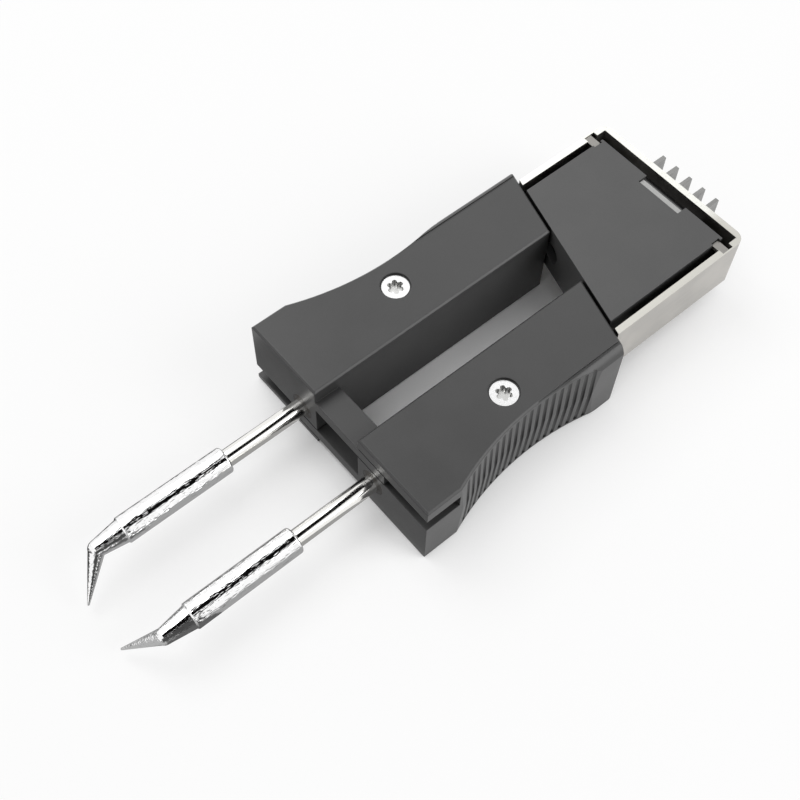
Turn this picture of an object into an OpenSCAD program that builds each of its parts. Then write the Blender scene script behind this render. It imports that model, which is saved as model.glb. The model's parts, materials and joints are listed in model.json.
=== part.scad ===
// Plug-in soldering tweezers: two moulded arms, each with a heated cartridge, hinge on a plug body.
// The long axis is X with the tips towards -X, the arms lie at +Y and -Y, and +Z is up.
// The origin is under the middle of the bounding box, on the surface that the tool lies on.

/* [Arms] */
// Height of both arms
arm_h = 18.5; // [17:0.5:24]
// Half of the width over both arms at the front
front_half_w = 25.8; // [25:0.2:30]
// Half of the width over both arms at the rear
rear_half_w = 23.4; // [22.6:0.2:24.6]
// Half of the open gap between the arms
half_gap = 6.3; // [5.6:0.1:6.8]
// Length of the straight side in front of the finger scallop
front_straight = 9.1; // [8:0.1:12]
// Distance of the deepest point of the scallop from the front face
scallop_x = 31; // [29:0.5:34]
// Half of the width over both arms at the deepest point of the scallop
scallop_half_w = 21.9; // [21.4:0.1:22.8]
// How far the grip swells at mid height
grip_crown = 0.35; // [0.1:0.05:0.6]
// Width of the rounded shoulder behind the scallop
shoulder_w = 1.9; // [1.5:0.1:2.2]
// Height of the rounded shoulder
shoulder_h = 2; // [1.6:0.1:2.4]
// Radius of the rounded shoulder
shoulder_r = 3.2; // [2.6:0.1:4]
// Width of the groove along the upper edge of the shoulder
shoulder_groove = 0.5; // [0.3:0.05:0.7]
// Bevel on the moulded edges
edge_bevel = 0.4; // [0.2:0.1:0.8]
// Thickness of the bottom cover of an arm
cover_t = 1.6; // [1.2:0.1:2]
// Wall that is left round the bottom cover
cover_rim = 1.3; // [1:0.1:1.6]

/* [Grip grooves] */
// Number of grooves in each scallop
groove_count = 19; // [12:1:22]
// Radius of a groove
groove_r = 0.5; // [0.4:0.05:0.6]
// Depth of the centre of a groove under the crown of the scallop
groove_sink = 0.15; // [0:0.05:0.25]
// First groove, measured back from the front face
groove_first_x = 10.6; // [10:0.2:13]
// Last groove, measured back from the front face
groove_last_x = 44.2; // [40:0.2:45]

/* [Guide tongues] */
// Depth of a tongue along the tool
tongue_depth = 5.8; // [4:0.1:6.2]
// Thickness of a tongue
tongue_t = 2.8; // [2:0.1:3]
// Length of a tongue from the inner wall of its arm
tongue_reach = 20.2; // [16:0.2:22]
// Depth of the slots that take the tongues
slot_depth = 8; // [7.8:0.1:8.6]
// Free height above and below a tongue in its slot
slot_play = 0.35; // [0.3:0.05:0.5]
// Material over the upper slot
upper_lip = 2.95; // [2.4:0.05:3]
// Material under the lower slot
lower_lip = 1.5; // [1.2:0.05:1.6]

/* [Rear seam] */
// Distance of the seam from the front face, on the centre line
seam_x = 59; // [58:0.5:64]
// Slant of the seam across the tool
seam_angle = 16; // [10:0.5:18]
// Gap between the arms and the plug body
seam_gap = 0.5; // [0.5:0.05:0.8]

/* [Cartridges] */
// Distance of a cartridge axis from the centre line
axis_y = 10.67; // [10.4:0.01:11]
// Height of the cartridge axes
axis_z = 8.4; // [8.2:0.1:8.6]
// Diameter of the polished tube
tube_d = 3.65; // [3.4:0.05:3.8]
// Diameter of the tinned sleeve
sleeve_d = 5.5; // [5:0.1:5.8]
// Distance of the sleeve from the front face of the arm
sleeve_gap = 18.2; // [14:0.2:24]
// Length of the sleeve
sleeve_len = 23.3; // [18:0.1:28]
// Length of the tapered neck in front of the sleeve
neck_len = 5.3; // [4:0.1:8]
// Diameter at the bend of the tip
bend_d = 3.4; // [2.8:0.1:3.8]
// Diameter of the rounded point
point_d = 0.5; // [0.3:0.05:0.8]
// How far the point lies ahead of the bend
point_ahead = 6.6; // [5:0.1:9]
// How far the point lies inwards of the cartridge axis
point_in = 5.24; // [4:0.02:5.3]
// How far the point lies under the cartridge axis
point_drop = 6.2; // [3:0.1:7]

/* [Cartridge mountings] */
// Outer diameter of the heat-resistant front bush
bush_d = 5.6; // [5:0.1:5.8]
// Length of the front bush
bush_len = 9.2; // [6:0.1:12]
// Distance of the socket from the front face
socket_x = 32; // [31.6:0.1:33]
// Length of the socket
socket_len = 11.5; // [10:0.1:12]
// Width of the socket
socket_w = 5.6; // [5.2:0.1:5.8]
// Height of the socket
socket_h = 9; // [8:0.1:9.4]

/* [Arm screws] */
// Distance of the screws from the front face
screw_x = 27.5; // [26:0.1:27.8]
// Distance of the screws from the centre line
screw_y = 15.7; // [15.5:0.1:16]
// Diameter of the screw head
screw_head_d = 5.6; // [5:0.1:5.8]
// Diameter of the screw thread
screw_d = 3; // [2.5:0.1:3]
// Diameter of the round pocket that the head lies in
screw_pocket_d = 6.2; // [6:0.1:6.6]

/* [Hinges] */
// Distance of the hinge pins from the front face
hinge_x = 50.5; // [50:0.1:51]
// Distance of the hinge pins from the sides of the plug body
hinge_in = 5.57; // [5.3:0.01:5.8]
// Diameter of the hinge pins
pin_d = 2.5; // [2:0.1:2.6]
// Radial running clearance of a hinge pin in its arm
pin_clear = 0.06; // [0.03:0.01:0.1]
// Width of the hinge lugs
lug_w = 5.8; // [5.4:0.1:6]
// Height of the hinge lugs
lug_h = 4.6; // [4:0.1:5]
// Wire diameter of the return springs
spring_wire = 0.8; // [0.6:0.1:0.9]
// Turns of the return springs
spring_turns = 2; // [1.5:0.5:2]

/* [Plug body] */
// Half of the width of the plug body
core_half_w = 17.07; // [16.6:0.01:17.2]
// Rear end of the plug body, from the front face of the arms
core_end_x = 86; // [82:0.2:86.6]
// Height of the underside of the plug body
core_z = 7; // [6.6:0.1:7.4]
// Wall of the plug body
core_wall = 1.8; // [1.4:0.1:2]
// Diameter of the wire hole in the front face of the plug body
wire_hole_d = 4.6; // [3:0.1:4.8]
// Offset of the wire hole from the centre line
wire_hole_y = 5.1; // [4:0.1:5.4]
// Width of the rear notch in the top face
notch_w = 11.1; // [8:0.1:14]
// Depth of the rear notch in the top face
notch_depth = 2.4; // [2:0.1:3]
// Offset of the rear notch from the centre line
notch_y = -1.4; // [-2:0.1:2]

/* [Plug shell] */
// Free width between the plug body and each side wall of the metal shell
shell_side_gap = 1.63; // [1.2:0.01:1.9]
// Thickness of the shell
shell_t = 1.4; // [1:0.1:1.5]
// Inner face of the rear wall, from the front face of the arms
shell_end_x = 88.4; // [88:0.1:90]
// Height of the underside of the shell
shell_z = 4.5; // [4:0.1:4.8]
// How far the rim of the shell lies under the top face
shell_drop = 0.2; // [0:0.05:0.5]
// Outer radius of the rear corners
shell_r = 2.4; // [1.6:0.1:2.6]
// Outer radius of the lower folds
fold_r = 1.6; // [1.4:0.1:2.2]
// Front edge of the shell floor, from the front face of the arms
floor_x = 66; // [65.5:0.5:68]
// Width of the two folded tabs
tab_w = 1.9; // [1.2:0.1:2.4]
// Rear edge of the tabs, from the front face of the arms
tab_x = 85.2; // [82:0.1:85.4]

/* [Contacts] */
// Number of blade contacts
blade_count = 5; // [2:1:5]
// Spacing of the blade contacts
blade_pitch = 3.81; // [3:0.01:4]
// Thickness of a blade
blade_t = 0.9; // [0.6:0.1:1]
// Height of a blade
blade_h = 5; // [4:0.1:5.4]
// How far the blades stand out of the shell
blade_out = 6.7; // [4:0.1:9]
// Thickness of the contact board
board_t = 1.2; // [0.8:0.1:1.6]

/* [Hidden] */
$fn = 48;

// Side numbers, colours and common clearances
right = 1;
left = -1;
over = 1;
fit = 0.1;
slide_fit = 0.02;
arm_colour = [0.30, 0.30, 0.31];
inner_colour = [0.16, 0.16, 0.17];
body_colour = [0.36, 0.36, 0.37];
steel_colour = [0.80, 0.81, 0.82];
brass_colour = [0.78, 0.62, 0.30];

// Scallop of the grips: one arc through the end of the front straight and the deepest point
scallop_rise = front_half_w - scallop_half_w;
scallop_run = scallop_x - front_straight;
scallop_r = (scallop_run * scallop_run + scallop_rise * scallop_rise) / (2 * scallop_rise);
groove_from = asin((groove_first_x - scallop_x) / scallop_r);
groove_to = asin((groove_last_x - scallop_x) / scallop_r);
groove_margin = 0.9;

// Shoulder: how far the centre of its arc lies inwards of the upper edge and under the top face
shoulder_chord = norm([shoulder_w, shoulder_h]);
shoulder_reach = sqrt(shoulder_r * shoulder_r - shoulder_chord * shoulder_chord / 4);
shoulder_in = shoulder_reach * shoulder_h / shoulder_chord - shoulder_w / 2;
shoulder_down = shoulder_reach * shoulder_w / shoulder_chord + shoulder_h / 2;
shoulder_groove_depth = 0.3;

// Guide slots and tongues
slot_t = tongue_t + 2 * slot_play;
upper_slot_z = arm_h - upper_lip - slot_t;
lower_slot_z = lower_lip;

// Seam
seam_slope = tan(seam_angle);
seam_step = seam_gap / cos(seam_angle);

// Bottom cover of an arm
cover_front_x = slot_depth + cover_rim + over;
cover_in_y = half_gap + cover_rim;
cover_out_y = scallop_half_w - grip_crown - groove_r - cover_rim + fit;
cover_rear_wall = 1.5;
boss_d = 6.4;
boss_h = 6;

// Cartridge, from the front face of the arm
sleeve_x = -sleeve_gap;
neck_x = sleeve_x - sleeve_len;
bend_x = neck_x - neck_len;
point_x = bend_x - point_ahead;
sleeve_overlap = 8;
sleeve_round = 0.5;
neck_step = 0.3;
bend_step = 0.05;
bore_play = 0.5;
insulator_len = 1.2;
socket_margin = 1.5;
tube_end_x = socket_x + socket_margin;
contact_x = tube_end_x + insulator_len;
contact_end_x = socket_x + socket_len - socket_margin;
rear_step = 0.3;
rear_d = tube_d - rear_step;

// Socket
socket_z = axis_z - socket_h / 2;
clip_len = 2.2;
clip_wall = 0.5;
clip_margin = 0.5;
clip_first_x = contact_x + clip_margin;
clip_last_x = contact_end_x - clip_len - clip_margin;

// Arm screw and its insert
head_sink = 0.5;
head_h = 1.7;
recess_share = 0.22;
lobe_share = 0.18;
lobe_reach = screw_head_d * recess_share;
lobe_d = screw_head_d * lobe_share;
recess_depth = 1.1;
insert_wall = 0.75;
insert_h = 4.6;
insert_sink = 0.4;
insert_z = cover_t - insert_sink;
screw_short = 1.2;
screw_end_z = insert_z + screw_short;

// Hinge pins, and hinge levels from the lug upwards and downwards
hinge_y = core_half_w - hinge_in;
lug_gap = 0.4;
lug_z = core_z + lug_gap;
lug_top = lug_z + lug_h;
lug_play = 0.75;
lead_d = 1.3;
lead_gap = 0.35;
lead_z = lug_top + lead_gap + lead_d / 2;
pocket_z = lug_z - lug_gap;
pocket_top = lead_z + lead_d / 2 + lead_gap;
pin_end_play = 0.3;
pin_seat_z = 0.9;
pin_z = pin_seat_z + pin_end_play;
pin_above = 2.4;
pin_top = pocket_top + pin_above;
pin_boss_h = 1.5;
pin_boss_wall = 1.2;
pin_boss_top = cover_t + pin_boss_h;
pin_boss_d = pin_d + 2 * pin_boss_wall;

// Return springs
coil_gap = 0.6;
coil_play = 0.5;
coil_end_gap = 0.3;
spring_r = pin_d / 2 + coil_gap + spring_wire / 2;
spring_pocket_r = spring_r + spring_wire / 2 + coil_play;
spring_top = pocket_z - coil_end_gap - spring_wire / 2;
spring_foot = pin_boss_top + coil_end_gap + spring_wire / 2;
spring_sides = 8;
spring_steps = 14;
leg_lean = 0.9;
leg_rise = 1.2;
leg_top = lug_z + leg_rise;
leg_hole_d = spring_wire + coil_play;
leg_hole_y = -0.8 * leg_lean;

// Leads
lead_pin_gap = 0.15;
lead_side = pin_d / 2 + lead_pin_gap + lead_d / 2;
lead_y = [hinge_y - lead_side, hinge_y + lead_side];
lead_root = 1.5;
lead_start_y = [axis_y - lead_root, axis_y + lead_root];
lead_up = 0.4;
lead_start_z = axis_z + lead_up;
lead_start_x = socket_x + socket_len;
lead_straight = 0.8;
lead_rise_x = lead_start_x + lead_straight;
lead_up_x = hinge_x - spring_pocket_r;
lead_reach = 17;
lead_end_x = hinge_x + lead_reach;
lead_steps = 10;
lead_sides = 8;

// Plug body, shell and contacts
core_top_t = 1.6;
cavity_top = arm_h - core_top_t;
post_h = 1.9;
shell_half_w = core_half_w + shell_side_gap;
floor_top = shell_z + shell_t;
base_t = 0.8;
base_step = 0.2;
plug_screw_in = 9;
plug_screw_x = core_end_x - plug_screw_in;
plug_screw_y = hinge_y;
plug_screw_d = 2.2;
plug_boss_d = 5;
plug_head_d = 4;
plug_screw_len = 8;
plug_screw_play = 0.6;
shell_top = arm_h - shell_drop;
tab_t = 0.9;
tab_drop = 0.3;
tab_edge = 0.3;
tab_pocket = 0.4;
relief_w = 0.9;
relief_depth = 1.6;
notch_drop = 1.2;
notch_z = arm_h - notch_drop;
clip_bar_w = 1.5;
clip_t = 0.7;
header_lift = 0.2;
header_margin = 0.9;
header_z = core_z + base_t + header_lift;
header_h = blade_h + 2 * header_margin;
blade_z = header_z + header_margin;
clip_leg = notch_z - header_z - header_h - header_lift;
board_z = core_z + post_h;
board_x = floor_x;
header_in = 4.2;
board_end_x = core_end_x - header_in;
board_play = 0.3;
board_half_w = core_half_w - core_wall - board_play;
blade_end_x = shell_end_x + shell_t + blade_out;
header_end = 2.2;
header_half_w = blade_pitch * (blade_count - 1) / 2 + header_end;
tail_h = 0.8;
tail_len = 3;
tail_x = board_end_x - tail_len;
terminal_in = 0.2;
terminal_x = board_x + terminal_in;
terminal_len = 5;
terminal_w = 6.6;
terminal_gap = 0.3;
wire_hole_up = 0.35;
wire_hole_z = (core_z + cavity_top) / 2 + wire_hole_up;

// Origin under the middle of the bounding box
middle_x = (point_x - point_d / 2 + blade_end_x) / 2;

// Front face of the plug body at a given Y, and the rear face of an arm there
function seam_at(y) = seam_x + y * seam_slope;
function arm_rear(y) = seam_at(y) - seam_step;

// Plan of an arm before the scallop, and plan of its bottom cover grown by g
function arm_plan(s) = [
    [0, s * half_gap], [0, s * front_half_w],
    [arm_rear(s * front_half_w), s * front_half_w], [arm_rear(s * half_gap), s * half_gap]];
function cover_plan(s, g) = [
    [cover_front_x - g, s * (cover_in_y - g)], [cover_front_x - g, s * (cover_out_y + g)],
    [arm_rear(s * cover_out_y) - cover_rear_wall + g, s * (cover_out_y + g)],
    [arm_rear(s * cover_in_y) - cover_rear_wall + g, s * (cover_in_y - g)]];

// Tube of radius r swept along points, never along Z
function unit(v) = v / norm(v);
function ring(p, t, r, n) =
    let (u = unit(cross(t, [0, 0, 1])), w = cross(unit(t), u))
    [for (i = [0 : n - 1]) p + r * (cos(360 * i / n) * u + sin(360 * i / n) * w)];
module tube_along(path, r, n) {
    last = len(path) - 1;
    rings = [for (i = [0 : last]) each ring(path[i], path[min(i + 1, last)] - path[max(i - 1, 0)], r, n)];
    sides = [for (i = [0 : last - 1], j = [0 : n - 1])
        let (k = (j + 1) % n) [i * n + j, i * n + k, (i + 1) * n + k, (i + 1) * n + j]];
    caps = [[for (j = [n - 1 : -1 : 0]) j], [for (j = [0 : n - 1]) last * n + j]];
    polyhedron(points = rings, faces = concat(sides, caps), convexity = 6);
}

// Shared placing
module place() {
    translate([-middle_x, 0, 0]) children();
}
module at_side(s) {
    if (s > 0) children();
    else mirror([0, 1, 0]) children();
}
module along_x(x, y, z) {
    translate([x, y, z]) rotate([0, 90, 0]) children();
}

// Arm shells
module arm_block(s) {
    hull() {
        translate([0, 0, edge_bevel]) linear_extrude(arm_h - 2 * edge_bevel) polygon(arm_plan(s));
        linear_extrude(arm_h) offset(delta = -edge_bevel) polygon(arm_plan(s));
    }
}
module scallop_cut(s) {
    rim = scallop_r + grip_crown;
    translate([scallop_x, s * (scallop_half_w + scallop_r), 0])
        rotate_extrude($fn = 180)
            polygon([[0, -over], [rim + edge_bevel, -over], [rim + edge_bevel, 0], [rim, edge_bevel],
                [scallop_r, arm_h / 2], [rim, arm_h - edge_bevel], [rim + edge_bevel, arm_h],
                [rim + edge_bevel, arm_h + over], [0, arm_h + over]]);
}
module grip_grooves(s) {
    reach = scallop_r + groove_sink;
    for (i = [0 : groove_count - 1]) {
        a = groove_from + (groove_to - groove_from) * i / (groove_count - 1);
        translate([scallop_x + reach * sin(a),
                s * (scallop_half_w + scallop_r - reach * cos(a)), groove_margin])
            cylinder(r = groove_r, h = arm_h - 2 * groove_margin, $fn = 16);
    }
}
module shoulder_cut(s) {
    edge = rear_half_w - shoulder_w;
    run = arm_rear(s * rear_half_w) + front_half_w;
    at_side(s) translate([scallop_x, 0, 0]) {
        translate([0, rear_half_w, -over]) cube([run, front_half_w, arm_h + 2 * over]);
        difference() {
            translate([0, edge - shoulder_in, arm_h - shoulder_down])
                cube([run, front_half_w, shoulder_down + over]);
            along_x(-over, edge - shoulder_in, arm_h - shoulder_down)
                cylinder(r = shoulder_r, h = run + 2 * over);
        }
        translate([0, edge - shoulder_groove / 2, arm_h - shoulder_groove_depth])
            cube([run, shoulder_groove, shoulder_groove_depth + over]);
    }
}
module tongue(s) {
    z = s == right ? upper_slot_z + slot_play : lower_slot_z + slot_play;
    at_side(s) translate([0, half_gap - tongue_reach, z])
        cube([tongue_depth, tongue_reach + edge_bevel, tongue_t]);
}
module guide_slot(s) {
    z = s == right ? lower_slot_z : upper_slot_z;
    at_side(s) translate([-over, half_gap - over, z])
        cube([slot_depth + over, front_half_w, slot_t]);
}
module arm_bores() {
    along_x(-over, axis_y, axis_z) cylinder(d = bush_d + 2 * slide_fit, h = bush_len + over);
    along_x(0, axis_y, axis_z) cylinder(d = tube_d + 2 * bore_play, h = socket_x + over);
    translate([screw_x, screw_y, 0]) {
        cylinder(d = boss_d + 2 * fit, h = boss_h + fit);
        cylinder(d = screw_d + 2 * fit, h = arm_h);
        translate([0, 0, arm_h - head_sink - head_h])
            cylinder(d1 = screw_d + 2 * fit, d2 = screw_head_d + 2 * fit, h = head_h);
        translate([0, 0, arm_h - head_sink]) cylinder(d = screw_pocket_d, h = head_sink + over);
    }
    translate([hinge_x, hinge_y, 0]) {
        cylinder(d = pin_d + 2 * pin_clear, h = pin_top + pin_end_play);
        cylinder(r = spring_pocket_r, h = pocket_z + fit);
    }
}
module lug_pocket(s) {
    r = lug_w / 2 + lug_play;
    at_side(s) translate([hinge_x, hinge_y, pocket_z]) linear_extrude(pocket_top - pocket_z) {
        circle(r = r);
        translate([0, -r]) square([seam_x - hinge_x + rear_half_w * seam_slope, 2 * r]);
    }
}
module arm_pockets() {
    play = 0.2;
    lead_in_y = min(lead_start_y[0], lead_y[0]) - lead_d;
    lead_out_y = max(lead_start_y[1], lead_y[1]) + lead_d;
    translate([socket_x - play, axis_y - socket_w / 2 - play, 0])
        cube([socket_len + 2 * play, socket_w + 2 * play, socket_z + socket_h + play]);
    translate([lead_start_x - over, lead_in_y, lead_start_z - lead_d])
        cube([hinge_x - lead_start_x, lead_out_y - lead_in_y, pocket_top - lead_start_z + lead_d]);
}
module arm_shell(s) {
    color(arm_colour) difference() {
        union() {
            difference() {
                arm_block(s);
                scallop_cut(s);
                shoulder_cut(s);
                grip_grooves(s);
            }
            tongue(s);
        }
        guide_slot(s);
        at_side(s) arm_bores();
        at_side(s) arm_pockets();
        lug_pocket(s);
        translate([0, 0, -over]) linear_extrude(cover_t + over) polygon(cover_plan(s, fit));
    }
}
module right_arm_shell() { place() arm_shell(right); }
module left_arm_shell() { place() arm_shell(left); }

// Bottom covers, each with the boss of the arm screw and the lower seat of the hinge pin
module arm_cover(s) {
    color(arm_colour) difference() {
        union() {
            linear_extrude(cover_t) polygon(cover_plan(s, 0));
            at_side(s) translate([screw_x, screw_y, 0]) cylinder(d = boss_d, h = boss_h);
            at_side(s) translate([hinge_x, hinge_y, 0]) cylinder(d = pin_boss_d, h = pin_boss_top);
        }
        at_side(s) translate([screw_x, screw_y, insert_z])
            cylinder(d = screw_d + 2 * insert_wall + 2 * slide_fit, h = boss_h);
        at_side(s) translate([hinge_x, hinge_y, pin_seat_z])
            cylinder(d = pin_d + 2 * pin_clear, h = pin_boss_top);
    }
}
module right_arm_cover() { place() arm_cover(right); }
module left_arm_cover() { place() arm_cover(left); }

// Cartridges
module front_bush() {
    color(inner_colour) along_x(0, axis_y, axis_z) difference() {
        cylinder(d = bush_d, h = bush_len);
        translate([0, 0, -over]) cylinder(d = tube_d + 2 * slide_fit, h = bush_len + 2 * over);
    }
}
module right_front_bush() { place() front_bush(); }
module left_front_bush() { place() at_side(left) front_bush(); }

module cartridge_tube() {
    color(steel_colour) along_x(sleeve_x - sleeve_overlap, axis_y, axis_z)
        cylinder(d = tube_d, h = tube_end_x - sleeve_x + sleeve_overlap);
}
module right_cartridge_tube() { place() cartridge_tube(); }
module left_cartridge_tube() { place() at_side(left) cartridge_tube(); }

module cartridge_tip() {
    r = sleeve_d / 2;
    bend_r = bend_d / 2;
    point_r = point_d / 2;
    point = [-point_ahead, -point_in, -point_drop];
    length = norm(point);
    sleeve_end = neck_len + sleeve_len;
    color(steel_colour) translate([bend_x, axis_y, axis_z]) difference() {
        union() {
            rotate([0, 90, 0]) rotate_extrude() polygon(concat(
                [for (a = [-90 : 15 : 0]) bend_r * [cos(a), sin(a)]],
                [[r - neck_step, neck_len], [r, neck_len + neck_step]],
                [for (a = [0 : 15 : 90])
                    [r - sleeve_round * (1 - cos(a)), sleeve_end - sleeve_round * (1 - sin(a))]],
                [[0, sleeve_end]]));
            rotate([0, acos(point[2] / length), atan2(point[1], point[0])]) rotate_extrude()
                polygon(concat([[0, 0], [bend_r - bend_step, 0]],
                    [for (a = [0 : 15 : 90]) [point_r * cos(a), length + point_r * sin(a)]]));
        }
        along_x(sleeve_end - sleeve_overlap, 0, 0)
            cylinder(d = tube_d + 2 * slide_fit, h = sleeve_overlap + over);
    }
}
module right_cartridge_tip() { place() cartridge_tip(); }
module left_cartridge_tip() { place() at_side(left) cartridge_tip(); }

module cartridge_insulator() {
    color("ivory") along_x(tube_end_x, axis_y, axis_z) cylinder(d = rear_d, h = insulator_len);
}
module right_cartridge_insulator() { place() cartridge_insulator(); }
module left_cartridge_insulator() { place() at_side(left) cartridge_insulator(); }

module cartridge_contact() {
    color(brass_colour) along_x(contact_x, axis_y, axis_z)
        cylinder(d = rear_d, h = contact_end_x - contact_x);
}
module right_cartridge_contact() { place() cartridge_contact(); }
module left_cartridge_contact() { place() at_side(left) cartridge_contact(); }

// Sockets with two spring clips round the rear contact of the cartridge
module clip_places() {
    for (x = [clip_first_x, clip_last_x]) along_x(x, axis_y, axis_z) children();
}
module socket() {
    color("peru") difference() {
        translate([socket_x, axis_y - socket_w / 2, socket_z]) cube([socket_len, socket_w, socket_h]);
        along_x(socket_x - over, axis_y, axis_z) cylinder(d = tube_d + 2 * fit, h = socket_len + 2 * over);
        clip_places() cylinder(d = tube_d + 2 * fit + 2 * clip_wall, h = clip_len + fit);
    }
}
module right_socket() { place() socket(); }
module left_socket() { place() at_side(left) socket(); }

module socket_clips() {
    color(brass_colour) clip_places() difference() {
        cylinder(d = tube_d + 2 * clip_wall, h = clip_len);
        translate([0, 0, -over]) cylinder(d = rear_d + 2 * slide_fit, h = clip_len + 2 * over);
    }
}
module right_socket_clips() { place() socket_clips(); }
module left_socket_clips() { place() at_side(left) socket_clips(); }

// Arm screws with a six-lobe recess, and the inserts that take them
module arm_screw() {
    top = arm_h - head_sink;
    color(steel_colour) translate([screw_x, screw_y, 0]) difference() {
        union() {
            translate([0, 0, screw_end_z]) cylinder(d = screw_d, h = top - screw_end_z);
            translate([0, 0, top - head_h]) cylinder(d1 = screw_d, d2 = screw_head_d, h = head_h);
        }
        translate([0, 0, top - recess_depth]) {
            cylinder(r = lobe_reach, h = recess_depth + over);
            for (a = [0 : 60 : 300]) rotate(a) translate([lobe_reach, 0, 0])
                cylinder(d = lobe_d, h = recess_depth + over, $fn = 24);
        }
    }
}
module right_arm_screw() { place() arm_screw(); }
module left_arm_screw() { place() at_side(left) arm_screw(); }

module screw_insert() {
    color(brass_colour) translate([screw_x, screw_y, insert_z]) difference() {
        cylinder(d = screw_d + 2 * insert_wall, h = insert_h);
        translate([0, 0, -over]) cylinder(d = screw_d + 2 * slide_fit, h = insert_h + 2 * over);
    }
}
module right_screw_insert() { place() screw_insert(); }
module left_screw_insert() { place() at_side(left) screw_insert(); }

// Heater leads from a socket over the hinge lug into the plug body
function lead_path(i) = concat(
    [[lead_start_x, lead_start_y[i], lead_start_z]],
    [for (k = [0 : lead_steps])
        let (t = k / lead_steps, e = t * t * (3 - 2 * t))
        [lead_rise_x + (lead_up_x - lead_rise_x) * t,
            lead_start_y[i] + (lead_y[i] - lead_start_y[i]) * e,
            lead_start_z + (lead_z - lead_start_z) * e]],
    [[lead_end_x, lead_y[i], lead_z]]);
module heater_leads() {
    color("firebrick") for (i = [0, 1]) tube_along(lead_path(i), lead_d / 2, lead_sides);
}
module right_heater_leads() { place() heater_leads(); }
module left_heater_leads() { place() at_side(left) heater_leads(); }

// Hinge pins, fixed in the lugs of the plug body
module hinge_pin() {
    color(steel_colour) translate([hinge_x, hinge_y, pin_z]) cylinder(d = pin_d, h = pin_top - pin_z);
}
module right_hinge_pin() { place() hinge_pin(); }
module left_hinge_pin() { place() at_side(left) hinge_pin(); }

// Torsion springs under the lugs: the upper leg leans up into the lug
function coil_path() = concat(
    [for (t = [1, 0.75, 0.4]) [spring_r, -leg_lean * t, spring_top + (leg_top - spring_top) * t * t]],
    [for (k = [0 : spring_turns * spring_steps])
        let (a = 360 * k / spring_steps)
        [spring_r * cos(a), spring_r * sin(a),
            spring_top - (spring_top - spring_foot) * k / (spring_turns * spring_steps)]]);
module return_spring() {
    color(steel_colour) translate([hinge_x, hinge_y, 0])
        tube_along(coil_path(), spring_wire / 2, spring_sides);
}
module right_return_spring() { place() return_spring(); }
module left_return_spring() { place() at_side(left) return_spring(); }

// Plug body: moulded block with the hinge lugs in front, open from below
module core_plan(inset, rear) {
    w = core_half_w - inset;
    polygon([[seam_at(w) + inset, w], [seam_at(-w) + inset, -w], [rear - inset, -w], [rear - inset, w]]);
}
module lug(s) {
    near = s * (hinge_y - lug_w / 2);
    far = s * (hinge_y + lug_w / 2);
    translate([0, 0, lug_z]) linear_extrude(lug_h) {
        translate([hinge_x, s * hinge_y]) circle(d = lug_w);
        polygon([[hinge_x, near], [seam_at(near) + core_wall / 2, near],
            [seam_at(far) + core_wall / 2, far], [hinge_x, far]]);
    }
}
module plug_screw_places() {
    for (s = [right, left]) translate([plug_screw_x, s * plug_screw_y, 0]) children();
}
module lead_window(s) {
    at_side(s) translate([hinge_x, lead_y[0] - lead_d / 2 - lug_play, lug_top])
        cube([seam_x + rear_half_w - hinge_x, lead_y[1] - lead_y[0] + lead_d + 2 * lug_play,
            pocket_top - lug_top]);
}
module wire_hole() {
    along_x(seam_at(wire_hole_y) - over, wire_hole_y, wire_hole_z)
        cylinder(d = wire_hole_d, h = core_wall + 2 * over);
}
module tab_place(s) {
    at_side(s) translate([tab_x - tab_w, core_half_w - tab_pocket, shell_top - tab_drop - tab_t])
        children();
}
module plug_body() {
    place() color(body_colour) difference() {
        union() {
            difference() {
                translate([0, 0, core_z]) linear_extrude(arm_h - core_z) core_plan(0, core_end_x);
                translate([0, 0, core_z - over]) linear_extrude(cavity_top - core_z + over)
                    core_plan(core_wall, core_end_x);
                for (s = [right, left]) lead_window(s);
                wire_hole();
            }
            for (s = [right, left]) lug(s);
            plug_screw_places() translate([0, 0, board_z + board_t])
                cylinder(d = plug_boss_d, h = cavity_top - board_z - board_t + core_top_t / 2);
        }
        for (s = [right, left]) {
            at_side(s) translate([hinge_x, hinge_y, 0]) {
                cylinder(d = pin_d + 2 * slide_fit, h = pin_top);
                translate([spring_r, leg_hole_y, lug_z - over])
                    cylinder(d = leg_hole_d, h = leg_top - lug_z + spring_wire + over);
            }
            tab_place(s) translate([-fit, -fit, -fit])
                cube([tab_w + 2 * fit, tab_pocket + over, tab_t + arm_h]);
        }
        plug_screw_places()
            cylinder(d = plug_screw_d + 2 * slide_fit, h = floor_top + plug_screw_len + plug_screw_play);
        translate([core_end_x - notch_depth, notch_y - notch_w / 2, notch_z])
            cube([notch_depth + over, notch_w, arm_h]);
        translate([core_end_x - notch_depth - fit, notch_y - notch_w / 4 - fit, notch_z - clip_leg - fit])
            cube([clip_t + 2 * fit, notch_w / 2 + 2 * fit, clip_leg + over]);
        translate([core_end_x - core_wall - over, -header_half_w - fit, header_z - fit])
            cube([core_wall + 2 * over, 2 * header_half_w + 2 * fit, header_h + 2 * fit]);
    }
}

// Base that closes the plug body from below, with the posts of the contact board
module plug_base() {
    place() color(inner_colour) difference() {
        union() {
            translate([floor_x, -core_half_w, floor_top])
                cube([core_end_x - floor_x, 2 * core_half_w, core_z - floor_top]);
            translate([0, 0, core_z - base_step]) linear_extrude(base_t + base_step)
                core_plan(core_wall + fit, core_end_x);
            plug_screw_places() translate([0, 0, core_z]) cylinder(d = plug_boss_d, h = post_h);
        }
        plug_screw_places() cylinder(d = plug_screw_d + 2 * fit, h = arm_h);
    }
}

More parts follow.
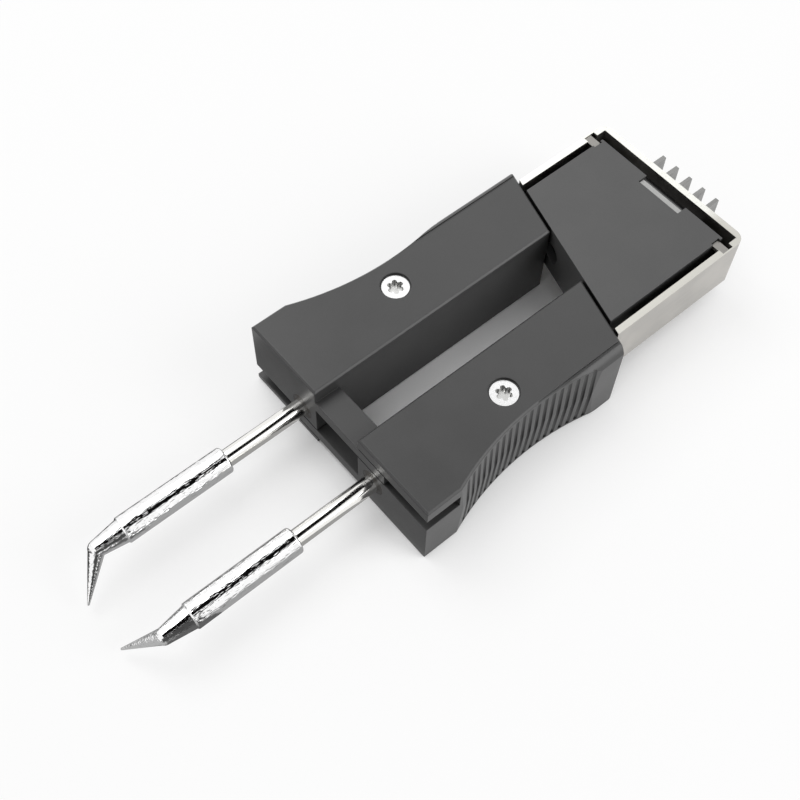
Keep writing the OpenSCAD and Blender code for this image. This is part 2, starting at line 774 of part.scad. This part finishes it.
// Two screws from below that hold shell, base, board and plug body together
module plug_screws() {
    head = (plug_head_d - plug_screw_d) / 2;
    place() color(steel_colour) plug_screw_places() translate([0, 0, shell_z]) {
        cylinder(d1 = plug_head_d, d2 = plug_screw_d, h = head);
        cylinder(d = plug_screw_d, h = shell_t + plug_screw_len);
    }
}

// Folded metal shell: floor, two side walls, rear wall and two tabs over the plug body
module shell_plan(half_w, rear, r) {
    polygon([[seam_at(half_w), half_w], [seam_at(-half_w), -half_w], [rear - r, -half_w],
        [rear - r, half_w]]);
    translate([rear - r - over, -half_w + r]) square([r + over, 2 * (half_w - r)]);
    for (s = [right, left]) translate([rear - r, s * (half_w - r)]) circle(r = r);
}
module fold_cut(length) {
    translate([-over, -over, -over]) difference() {
        cube([length + 2 * over, fold_r + over, fold_r + over]);
        translate([-over, fold_r + over, fold_r + over]) rotate([0, 90, 0])
            cylinder(r = fold_r, h = length + 4 * over);
    }
}
module connector_shell() {
    outer = shell_half_w + shell_t;
    rear = shell_end_x + shell_t;
    place() color(steel_colour) difference() {
        union() {
            difference() {
                translate([0, 0, shell_z]) linear_extrude(shell_top - shell_z)
                    shell_plan(outer, rear, shell_r);
                translate([seam_x - front_half_w, -shell_half_w, floor_top])
                    cube([shell_end_x - seam_x + front_half_w, 2 * shell_half_w, arm_h]);
                translate([seam_x - front_half_w, -outer, 0])
                    cube([floor_x - seam_x + front_half_w, 2 * outer, shell_z]);
                translate([seam_x - front_half_w, -shell_half_w, 0])
                    cube([floor_x - seam_x + front_half_w, 2 * shell_half_w, arm_h]);
                for (s = [right, left]) at_side(s) translate([0, -outer, shell_z]) fold_cut(rear);
                translate([rear, outer, shell_z]) rotate(-90) mirror([0, 1, 0]) fold_cut(2 * outer);
            }
            for (s = [right, left]) tab_place(s)
                cube([tab_w, shell_half_w - core_half_w + tab_pocket + shell_t / 2, tab_t]);
        }
        for (s = [right, left]) at_side(s) {
            translate([tab_x, shell_half_w - over, shell_top - relief_depth])
                cube([relief_w, shell_t - tab_edge + over, relief_depth + over]);
            translate([tab_x - tab_w, shell_half_w - over, shell_top - tab_drop])
                cube([tab_w + over / 2, shell_t - tab_edge + over, tab_drop + over]);
        }
        plug_screw_places() {
            cylinder(d = plug_screw_d + 2 * fit, h = arm_h);
            translate([0, 0, shell_z])
                cylinder(d1 = plug_head_d + 2 * fit, d2 = plug_screw_d + 2 * fit,
                    h = (plug_head_d - plug_screw_d) / 2);
        }
        translate([shell_end_x - over, -header_half_w - fit, header_z - fit])
            cube([shell_t + 2 * over, 2 * header_half_w + 2 * fit, header_h + 2 * fit]);
    }
}

// Sprung latch clip in the rear notch of the plug body
module latch_clip() {
    place() color(steel_colour) {
        translate([core_end_x - notch_depth, notch_y - notch_w / 2 + fit, notch_z])
            cube([clip_bar_w, notch_w - 2 * fit, clip_t]);
        translate([core_end_x - notch_depth, notch_y - notch_w / 4, notch_z - clip_leg])
            cube([clip_t, notch_w / 2, clip_leg]);
    }
}

// Contact board with its two lead terminals, and the blade contacts in their header
module contact_board() {
    place() color("darkgreen") difference() {
        translate([board_x, -board_half_w, board_z])
            cube([board_end_x - board_x, 2 * board_half_w, board_t]);
        plug_screw_places() cylinder(d = plug_screw_d + 2 * fit, h = arm_h);
    }
}
module lead_terminals() {
    top = lead_z - lead_d / 2 - terminal_gap;
    place() color("whitesmoke") for (s = [right, left]) at_side(s)
        translate([terminal_x, hinge_y - terminal_w / 2, board_z + board_t])
            cube([terminal_len, terminal_w, top - board_z - board_t]);
}
module blade_places() {
    for (i = [0 : blade_count - 1])
        translate([0, (i - (blade_count - 1) / 2) * blade_pitch, 0]) children();
}
module blade_header() {
    front = board_end_x;
    place() color(inner_colour) difference() {
        translate([front, -header_half_w, header_z])
            cube([shell_end_x + shell_t - front, 2 * header_half_w, header_h]);
        blade_places() translate([front - over, -blade_t / 2 - slide_fit, blade_z - slide_fit])
            cube([blade_end_x, blade_t + 2 * slide_fit, blade_h + 2 * slide_fit]);
    }
}
module blade_contacts() {
    place() color(steel_colour) blade_places() {
        translate([board_end_x + fit, -blade_t / 2, blade_z])
            cube([blade_end_x - board_end_x - fit, blade_t, blade_h]);
        translate([tail_x, -blade_t / 2, board_z + board_t])
            cube([board_end_x - tail_x + over, blade_t, tail_h]);
    }
}

right_arm_shell();
left_arm_shell();
right_arm_cover();
left_arm_cover();
right_front_bush();
left_front_bush();
right_cartridge_tube();
left_cartridge_tube();
right_cartridge_tip();
left_cartridge_tip();
right_cartridge_insulator();
left_cartridge_insulator();
right_cartridge_contact();
left_cartridge_contact();
right_socket();
left_socket();
right_socket_clips();
left_socket_clips();
right_arm_screw();
left_arm_screw();
right_screw_insert();
left_screw_insert();
right_heater_leads();
left_heater_leads();
right_hinge_pin();
left_hinge_pin();
right_return_spring();
left_return_spring();
plug_body();
plug_base();
plug_screws();
connector_shell();
latch_clip();
contact_board();
lead_terminals();
blade_header();
blade_contacts();
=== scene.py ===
"""Looks of the soldering tweezers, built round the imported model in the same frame, in metres."""
import json
import math

import bpy
from mathutils import Matrix, Vector


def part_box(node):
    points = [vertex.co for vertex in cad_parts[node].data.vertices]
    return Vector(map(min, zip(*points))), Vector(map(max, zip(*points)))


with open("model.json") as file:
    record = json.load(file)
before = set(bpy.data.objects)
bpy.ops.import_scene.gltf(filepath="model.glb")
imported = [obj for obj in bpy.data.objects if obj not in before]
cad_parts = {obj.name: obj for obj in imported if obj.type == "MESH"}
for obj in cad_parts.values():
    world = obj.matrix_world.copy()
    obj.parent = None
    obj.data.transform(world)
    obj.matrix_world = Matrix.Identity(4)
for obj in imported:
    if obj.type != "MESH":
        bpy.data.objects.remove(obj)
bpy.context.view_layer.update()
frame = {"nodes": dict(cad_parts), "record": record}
nodes = frame["nodes"]
slots = {part["node"]: part["material_slot"] for part in frame["record"]["subparts"]}
MM = 0.001

# Camera: where it stood, how it was turned, in degrees, and its lens for a 36 mm wide sensor
CAMERA_AT = Vector((-86.778, -90.415, 212.067)) * MM
CAMERA_AZIMUTH = -41.859
CAMERA_ELEVATION = 59.283
CAMERA_ROLL = 2.023
CAMERA_LENS = 54.926
SENSOR_WIDTH = 36.0

# Light, where 1 is a full white: the world's share, and what the floor shows of its own white near the object
WORLD_LEVEL = 0.52
FLOOR_GLOW = 0.65

# Floor: its side, and the distances between which its glow grows to a full white
FLOOR_SIZE = 4.0
FLOOR_COLOUR = (0.97, 0.97, 0.97, 1)
GLOW_NEAR = 0.3
GLOW_FAR = 0.9

# Gaps take the floor's glow away: their reach, and the shares of open air with none and with all of it
SHELTER_REACH = 30 * MM
SHELTERED = 0.25
OPEN = 0.7

# Square lamps: side and distance
LAMP_SIZE = 0.5
LAMP_DISTANCE = 0.8

# Cards of the studio, in millimetres: height of those above, and outer edges of those on the floor
CARD_HEIGHT = 150
CARD_FRONT = -150
CARD_NEAR = -160
CARD_FAR = 34

# Outline of the dark card above, whose edges bound the dark stripe along the tubes and the sleeves
OVERHEAD_OUTLINE = [(46, -10), (26, -18), (15, -48), (8, -70), (-8, -98), (-130, -105),
                    (-130, 2), (2, 12), (10, 48), (20, 85), (27, 104), (46, 115)]

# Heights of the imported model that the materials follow
HEAD_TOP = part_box("right_arm_screw")[1].z
SHELL_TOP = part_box("connector_shell")[1].z

# Y between which the painted highlight on the shell's upper edge gives way to painted shade
RIM_LIT = -9 * MM
RIM_SHADED = -14 * MM

# Stretches of a pattern: the same all round, or drawn out along one axis
EVEN = (1, 1, 1)
ALONG_X = (0.03, 1, 1)
ALONG_Z = (1, 1, 0.05)

# Rays that each shaded point of a gap or a rounded edge sends out
GAP_SAMPLES = 8
EDGE_SAMPLES = 6


def towards(azimuth, elevation):
    """Unit vector at an azimuth (0 is -Y, 90 is +X) and an elevation, in degrees."""
    a, e = math.radians(azimuth), math.radians(elevation)
    return Vector((math.sin(a) * math.cos(e), -math.cos(a) * math.cos(e), math.sin(e)))


def make_camera():
    azimuth, roll = math.radians(CAMERA_AZIMUTH), math.radians(CAMERA_ROLL)
    back = towards(CAMERA_AZIMUTH, CAMERA_ELEVATION)
    level = Vector((math.cos(azimuth), math.sin(azimuth), 0))
    upright = back.cross(level)
    right = level * math.cos(roll) + upright * math.sin(roll)
    up = upright * math.cos(roll) - level * math.sin(roll)
    turn = Matrix((right, up, back)).transposed()
    data = bpy.data.cameras.new("camera")
    data.lens = CAMERA_LENS
    data.sensor_width = SENSOR_WIDTH
    data.clip_start = 0.01
    data.clip_end = 20.0
    camera = bpy.data.objects.new("camera", data)
    camera.matrix_world = Matrix.Translation(CAMERA_AT) @ turn.to_4x4()
    bpy.context.scene.collection.objects.link(camera)
    bpy.context.scene.camera = camera


def joined(tree, operation, first, second):
    """Result of a maths node that takes two outputs."""
    node = tree.nodes.new("ShaderNodeMath")
    node.operation = operation
    tree.links.new(first, node.inputs[0])
    tree.links.new(second, node.inputs[1])
    return node.outputs["Value"]


def mapped(tree, value, low, high, to_low, to_high, interpolation="LINEAR"):
    """An output, brought from one range to another."""
    node = tree.nodes.new("ShaderNodeMapRange")
    node.interpolation_type = interpolation
    for name, number in (("From Min", low), ("From Max", high), ("To Min", to_low), ("To Max", to_high)):
        node.inputs[name].default_value = number
    tree.links.new(value, node.inputs["Value"])
    return node.outputs["Result"]


def rays(tree, *kinds):
    """1 for rays of the named kinds, 0 for all others."""
    path = tree.nodes.new("ShaderNodeLightPath").outputs
    found = path[kinds[0]]
    for kind in kinds[1:]:
        found = joined(tree, "MAXIMUM", found, path[kind])
    return found


class Shader:
    """A node material with one Principled shader and short calls for the nodes round it."""

    def __init__(self, name, colour, roughness, metallic=0.0, specular=0.5):
        self.mat = bpy.data.materials.new(name)
        self.mat.use_nodes = True
        self.tree = self.mat.node_tree
        self.bsdf = self.tree.nodes["Principled BSDF"]
        self.colour = (*colour, 1.0)
        self.bsdf.inputs["Base Color"].default_value = self.colour
        self.bsdf.inputs["Roughness"].default_value = roughness
        self.bsdf.inputs["Metallic"].default_value = metallic
        self.bsdf.inputs["Specular IOR Level"].default_value = specular
        self.roughness = roughness
        self.coords = self.tree.nodes.new("ShaderNodeTexCoord").outputs["Object"]

    def link(self, source, target):
        self.tree.links.new(source, target)

    def stretched(self, scale):
        """Object coordinates multiplied by a scale on each axis."""
        node = self.tree.nodes.new("ShaderNodeMapping")
        node.inputs["Scale"].default_value = scale
        self.link(self.coords, node.inputs["Vector"])
        return node.outputs["Vector"]

    def noise(self, per_mm, detail=3.0, stretch=EVEN):
        """Noise with a feature size of about 1 / per_mm millimetres."""
        node = self.tree.nodes.new("ShaderNodeTexNoise")
        node.inputs["Scale"].default_value = per_mm / MM
        node.inputs["Detail"].default_value = detail
        node.inputs["Roughness"].default_value = 0.55
        self.link(self.stretched(stretch), node.inputs["Vector"])
        return node.outputs["Fac"]

    def ramp(self, value, low, high, to_low=0.0, to_high=1.0):
        return mapped(self.tree, value, low, high, to_low, to_high, "SMOOTHSTEP")

    def multiply(self, first, second):
        return joined(self.tree, "MULTIPLY", first, second)

    def open_air(self, reach_mm):
        """Near 0 deep in a gap that is narrower than the reach, 1 on open faces."""
        node = self.tree.nodes.new("ShaderNodeAmbientOcclusion")
        node.samples = GAP_SAMPLES
        node.inputs["Distance"].default_value = reach_mm * MM
        return self.ramp(node.outputs["AO"], 0.2, 0.75)

    def round_edges(self, radius_mm):
        """Shades the edges as if they had a small radius."""
        node = self.tree.nodes.new("ShaderNodeBevel")
        node.samples = EDGE_SAMPLES
        node.inputs["Radius"].default_value = radius_mm * MM
        self.link(node.outputs["Normal"], self.bsdf.inputs["Normal"])

    def part_of(self, vector, letter):
        node = self.tree.nodes.new("ShaderNodeSeparateXYZ")
        self.link(vector, node.inputs["Vector"])
        return node.outputs[letter]

    def axis(self, letter):
        """Place along one axis of the frame."""
        return self.part_of(self.coords, letter)

    def facing(self, letter):
        """How far a face is turned along one axis of the frame, from -1 to 1."""
        place = self.tree.nodes.new("ShaderNodeNewGeometry")
        return self.part_of(place.outputs["True Normal"], letter)

    def tint(self, factor, colour):
        """Mixes another colour over the base colour where factor is 1."""
        node = self.tree.nodes.new("ShaderNodeMix")
        node.data_type = "RGBA"
        sockets = {s.identifier: s for s in node.inputs}
        base = self.bsdf.inputs["Base Color"]
        if base.is_linked:
            self.link(base.links[0].from_socket, sockets["A_Color"])
        else:
            sockets["A_Color"].default_value = self.colour
        sockets["B_Color"].default_value = (*colour, 1.0)
        self.link(factor, sockets["Factor_Float"])
        self.link(next(s for s in node.outputs if s.identifier == "Result_Color"), base)

    def vary_roughness(self, factor, spread):
        low, high = self.roughness - spread, self.roughness + spread
        self.link(self.ramp(factor, 0.3, 0.7, low, high), self.bsdf.inputs["Roughness"])

    def bump(self, factor, depth_mm):
        """Relief of a given depth in millimetres, added to what is there already."""
        node = self.tree.nodes.new("ShaderNodeBump")
        node.inputs["Strength"].default_value = 1.0
        node.inputs["Distance"].default_value = depth_mm * MM
        self.link(factor, node.inputs["Height"])
        normal = self.bsdf.inputs["Normal"]
        if normal.is_linked:
            self.link(normal.links[0].from_socket, node.inputs["Normal"])
        self.link(node.outputs["Normal"], normal)


def shade(colour, factor):
    return tuple(c * factor for c in colour)


def moulded(name, colour):
    """Spark-eroded moulded plastic: fine grain, faint clouds, and painted shade in narrow gaps, where it is
    darker and less specular.
    """
    s = Shader(name, colour, 0.4)
    fine = s.noise(5.0, detail=4.0)
    clouds = s.noise(0.12, detail=2.0)
    s.tint(s.ramp(clouds, 0.35, 0.7), shade(colour, 1.08))
    s.tint(s.ramp(fine, 0.55, 0.75, 0.0, 0.5), shade(colour, 1.25))
    s.tint(s.ramp(fine, 0.45, 0.25, 0.0, 0.5), shade(colour, 0.75))
    # Painted shade: darker colour and lower specular deep in narrow gaps, from the ambient occlusion mask
    painted_gap_shade = s.ramp(s.open_air(3.0), 0.0, 1.0, 1.0, 0.0)
    s.tint(painted_gap_shade, shade(colour, 0.1))
    s.link(s.ramp(painted_gap_shade, 0.0, 1.0, 0.5, 0.05), s.bsdf.inputs["Specular IOR Level"])
    s.vary_roughness(clouds, 0.025)
    s.round_edges(0.25)
    s.bump(fine, 0.012)
    return s.mat


def drawn_metal(name, colour, roughness, stretch, per_mm=3.0):
    """Metal with fine lines along one direction and faint patches."""
    s = Shader(name, colour, roughness, metallic=1.0)
    lines = s.noise(per_mm, detail=4.0, stretch=stretch)
    patches = s.noise(0.35, detail=3.0)
    s.tint(s.ramp(lines, 0.4, 0.7, 0.0, 0.6), shade(colour, 0.82))
    s.tint(s.ramp(patches, 0.45, 0.75, 0.0, 0.6), shade(colour, 1.12))
    s.vary_roughness(patches, min(0.08, roughness * 0.5))
    s.bump(lines, 0.004)
    return s.mat


def screw_material():
    """Bright turned heads, with painted shade in the recess under the face of the head."""
    colour = (0.76, 0.76, 0.76)
    s = Shader("screw_steel", colour, 0.3, metallic=1.0)
    fine = s.noise(4.0, detail=4.0)
    recess = s.ramp(s.axis("Z"), HEAD_TOP - 0.05 * MM, HEAD_TOP - 0.25 * MM)
    s.tint(s.ramp(fine, 0.45, 0.7, 0.0, 0.5), shade(colour, 0.85))
    # Painted shade: a darker grey below the top of the head, in the recess
    s.tint(recess, (0.55, 0.55, 0.54))
    s.vary_roughness(fine, 0.08)
    s.bump(fine, 0.003)
    return s.mat


def shell_material():
    """Plated sheet with faint lines and patches, specked along the cut upper edge, greyer on the rolled
    faces; with a painted highlight along the upper edge and painted shade on its -Y side, on the up-facing
    folded tabs and in narrow gaps."""
    colour = (0.47, 0.455, 0.43)
    s = Shader("shell_metal", colour, 0.38, metallic=1.0)
    lines = s.noise(3.0, detail=4.0, stretch=ALONG_X)
    patches = s.noise(0.08, detail=3.0)
    specks = s.noise(2.5, detail=4.0)
    edge = s.ramp(s.axis("Z"), SHELL_TOP - 0.15 * MM, SHELL_TOP - 0.1 * MM)
    painted_rim_shade = s.multiply(edge, s.ramp(s.axis("Y"), RIM_LIT, RIM_SHADED))
    tabs = s.multiply(s.ramp(s.facing("Z"), 0.8, 0.9), s.ramp(edge, 0.0, 1.0, 1.0, 0.0))
    s.tint(s.ramp(lines, 0.4, 0.7, 0.0, 0.5), shade(colour, 0.86))
    s.tint(s.ramp(patches, 0.4, 0.7, 0.0, 0.8), shade(colour, 1.2))
    # Painted highlight: the upper edge made lighter, as where it catches the light
    s.tint(edge, (0.80, 0.80, 0.76))
    # Painted shade: the upper edge greyer on its -Y side
    s.tint(painted_rim_shade, (0.56, 0.55, 0.51))
    # Painted shade: darker on up-facing faces below the upper edge, the folded tabs
    s.tint(tabs, shade(colour, 0.58))
    s.tint(s.multiply(edge, s.ramp(specks, 0.5, 0.7, 0.0, 0.35)), (0.55, 0.54, 0.50))
    # Painted shade: near black deep in narrow gaps, from the ambient occlusion mask
    s.tint(s.ramp(s.open_air(1.2), 0.0, 1.0, 0.9, 0.0), (0.02, 0.02, 0.02))
    s.vary_roughness(patches, 0.06)
    s.bump(lines, 0.003)
    return s.mat


def polished_tube():
    """Polished steel, a little warm, with hairlines along the tube."""
    colour = (0.90, 0.89, 0.86)
    s = Shader("polished_tube", colour, 0.09, metallic=1.0)
    lines = s.noise(6.0, detail=3.0, stretch=(0.04, 1, 1))
    s.tint(s.ramp(lines, 0.45, 0.75, 0.0, 0.5), shade(colour, 0.9))
    s.vary_roughness(lines, 0.02)
    s.bump(lines, 0.0002)
    return s.mat


def tinned():
    """Bright tin with a wrinkled skin that breaks up what it mirrors."""
    colour = (0.95, 0.95, 0.95)
    s = Shader("tinned", colour, 0.06, metallic=1.0)
    wrinkles = s.noise(0.9, detail=1.0, stretch=(0.4, 1, 1))
    streaks = s.noise(3.2, detail=1.0, stretch=(0.2, 1, 1))
    scratches = s.noise(4.0, detail=2.0, stretch=(0.12, 1, 1))
    s.tint(s.ramp(wrinkles, 0.55, 0.72, 0.0, 0.4), shade(colour, 0.85))
    s.tint(s.ramp(scratches, 0.6, 0.7, 0.0, 0.7), shade(colour, 0.55))
    s.vary_roughness(streaks, 0.03)
    s.bump(wrinkles, 0.045)
    s.bump(streaks, 0.07)
    return s.mat


def bush_material():
    """Dark heat-resistant plastic, browned in patches."""
    colour = (0.040, 0.039, 0.037)
    s = Shader("bush", colour, 0.5, specular=0.4)
    stain = s.noise(0.7, detail=4.0)
    s.tint(s.ramp(stain, 0.4, 0.65), (0.058, 0.050, 0.042))
    s.vary_roughness(stain, 0.1)
    s.bump(s.noise(4.0), 0.01)
    return s.mat


def wire_cover():
    """Red sleeving with fine ridges along the wire."""
    colour = (0.35, 0.03, 0.02)
    s = Shader("wire_cover", colour, 0.5, specular=0.4)
    ridges = s.noise(2.0, detail=2.0, stretch=(0.15, 1, 1))
    s.tint(s.ramp(ridges, 0.4, 0.7), shade(colour, 0.7))
    s.bump(ridges, 0.02)
    return s.mat


def board_material():
    """Green lacquered board with a faint weave."""
    colour = (0.02, 0.13, 0.05)
    s = Shader("board", colour, 0.35)
    weave = s.noise(2.5, detail=2.0, stretch=(0.3, 1.0, 1.0))
    s.tint(s.ramp(weave, 0.4, 0.7), shade(colour, 1.5))
    s.bump(weave, 0.004)
    return s.mat


def glazed(name, colour):
    """Glazed ceramic with darker specks."""
    s = Shader(name, colour, 0.3)
    specks = s.noise(2.0, detail=4.0)
    s.tint(s.ramp(specks, 0.5, 0.8), shade(colour, 0.8))
    s.vary_roughness(specks, 0.08)
    s.bump(specks, 0.004)
    return s.mat


MATERIALS = {
    "arm_plastic": moulded("arm_plastic", (0.043, 0.043, 0.043)),
    "body_plastic": moulded("body_plastic", (0.066, 0.066, 0.066)),
    "base_plastic": moulded("base_plastic", (0.03, 0.03, 0.032)),
    "socket_plastic": moulded("socket_plastic", (0.40, 0.22, 0.10)),
    "terminal": moulded("terminal", (0.62, 0.62, 0.60)),
    "bush": bush_material(),
    "polished_steel": polished_tube(),
    "tinned_steel": tinned(),
    "screw_steel": screw_material(),
    "pin_steel": drawn_metal("pin_steel", (0.6, 0.6, 0.61), 0.25, ALONG_Z),
    "spring_steel": drawn_metal("spring_steel", (0.5, 0.5, 0.51), 0.3, EVEN),
    "clip_steel": drawn_metal("clip_steel", (0.36, 0.36, 0.355), 0.4, EVEN, per_mm=5.0),
    "shell_metal": shell_material(),
    "contact_metal": drawn_metal("contact_metal", (0.27, 0.27, 0.265), 0.35, ALONG_X),
    "brass": drawn_metal("brass", (0.60, 0.43, 0.18), 0.3, EVEN),
    "insulator": glazed("insulator", (0.75, 0.72, 0.62)),
    "lead_cover": wire_cover(),
    "board": board_material(),
}


def dress_nodes():
    for name, obj in nodes.items():
        obj.data.materials.clear()
        obj.data.materials.append(MATERIALS[slots[name]])


def make_world():
    """White where it is seen or mirrored, and a soft light from all sides elsewhere."""
    world = bpy.data.worlds.new("studio")
    world.use_nodes = True
    tree = world.node_tree
    back = tree.nodes["Background"]
    back.inputs["Color"].default_value = (1, 1, 1, 1)
    seen = rays(tree, "Is Camera Ray", "Is Glossy Ray", "Is Transmission Ray")
    tree.links.new(mapped(tree, seen, 0.0, 1.0, WORLD_LEVEL, 1.0), back.inputs["Strength"])
    bpy.context.scene.world = world


def bare_material(name):
    """A node material with only its output node."""
    mat = bpy.data.materials.new(name)
    mat.use_nodes = True
    mat.node_tree.nodes.remove(mat.node_tree.nodes["Principled BSDF"])
    return mat


def floor_material():
    """Pale matt floor that shows part of its own white: more of it far away, none in narrow gaps."""
    mat = bare_material("floor")
    tree = mat.node_tree
    diffuse = tree.nodes.new("ShaderNodeBsdfDiffuse")
    diffuse.inputs["Color"].default_value = FLOOR_COLOUR
    glow = tree.nodes.new("ShaderNodeEmission")
    place = tree.nodes.new("ShaderNodeTexCoord")
    away = tree.nodes.new("ShaderNodeVectorMath")
    away.operation = "LENGTH"
    tree.links.new(place.outputs["Object"], away.inputs[0])
    shelter = tree.nodes.new("ShaderNodeAmbientOcclusion")
    shelter.inputs["Distance"].default_value = SHELTER_REACH
    full = mapped(tree, away.outputs["Value"], GLOW_NEAR, GLOW_FAR, FLOOR_GLOW, 1.0)
    kept = mapped(tree, shelter.outputs["AO"], SHELTERED, OPEN, 0.0, 1.0)
    seen = rays(tree, "Is Camera Ray", "Is Glossy Ray")
    mix = tree.nodes.new("ShaderNodeMixShader")
    tree.links.new(joined(tree, "MULTIPLY", seen, joined(tree, "MULTIPLY", full, kept)), mix.inputs["Fac"])
    tree.links.new(diffuse.outputs["BSDF"], mix.inputs[1])
    tree.links.new(glow.outputs["Emission"], mix.inputs[2])
    tree.links.new(mix.outputs["Shader"], tree.nodes["Material Output"].inputs["Surface"])
    return mat


def make_floor():
    bpy.ops.mesh.primitive_plane_add(size=FLOOR_SIZE, location=(0, 0, 0))
    floor = bpy.context.object
    floor.name = "floor"
    floor.data.materials.append(floor_material())


def lamp(name, azimuth, elevation, level):
    """Square soft lamp aimed at the object; level is its share of a full white on a face turned to it."""
    data = bpy.data.lights.new(name, "AREA")
    data.size = LAMP_SIZE
    data.energy = level * math.pi ** 2 * LAMP_DISTANCE ** 2
    obj = bpy.data.objects.new(name, data)
    back = towards(azimuth, elevation)
    obj.location = back * LAMP_DISTANCE
    obj.rotation_mode = "QUATERNION"
    obj.rotation_quaternion = back.to_track_quat("Z", "Y")
    bpy.context.scene.collection.objects.link(obj)


def lying(z, corners):
    """Corners of a level card at the height z."""
    return [(x, y, z) for x, y in corners]


def lying_rectangle(z, x0, x1, y0, y1):
    return lying(z, [(x0, y0), (x1, y0), (x1, y1), (x0, y1)])


def standing_rectangle(y, x0, x1, top):
    """Corners of a card that stands on the floor along X."""
    return [(x0, y, 0), (x1, y, 0), (x1, y, top), (x0, y, top)]


def card(name, corners, level):
    """Flat card of a studio, given by its corners in millimetres, that only shows as a reflection."""
    mesh = bpy.data.meshes.new(name)
    mesh.from_pydata([Vector(corner) * MM for corner in corners], [], [range(len(corners))])
    obj = bpy.data.objects.new(name, mesh)
    bpy.context.scene.collection.objects.link(obj)
    mat = bare_material(name)
    tree = mat.node_tree
    glow = tree.nodes.new("ShaderNodeEmission")
    glow.inputs["Color"].default_value = (level, level, level, 1)
    tree.links.new(glow.outputs["Emission"], tree.nodes["Material Output"].inputs["Surface"])
    mesh.materials.append(mat)
    obj.visible_camera = False
    obj.visible_diffuse = False
    obj.visible_shadow = False
    obj.visible_transmission = False


def make_cards():
    """Cards that the bright metal mirrors. Those on the floor lie in layers, and the upper one shows."""
    card("overhead_card", lying(CARD_HEIGHT, OVERHEAD_OUTLINE), 0.004)
    card("rear_card", lying_rectangle(CARD_HEIGHT, 60, 170, 30, 140), 1.6)
    card("low_card", lying_rectangle(0.2, CARD_FRONT, -22, CARD_NEAR, CARD_FAR), 0.36)
    card("neck_card", lying_rectangle(0.3, -71, -57, -75, -2), 0.12)
    card("point_card", lying_rectangle(0.3, CARD_FRONT, -73, CARD_NEAR, CARD_FAR), 0.45)
    card("side_card", lying_rectangle(0.4, CARD_FRONT, -30, 12, CARD_FAR), 0.05)
    card("tip_card", standing_rectangle(-60, CARD_FRONT, -56, 80), 0.07)


make_camera()
make_world()
make_floor()
lamp("key", azimuth=190, elevation=58, level=0.38)
lamp("fill", azimuth=35, elevation=30, level=0.40)
make_cards()
dress_nodes()

bpy.context.scene.view_settings.view_transform = "Standard"
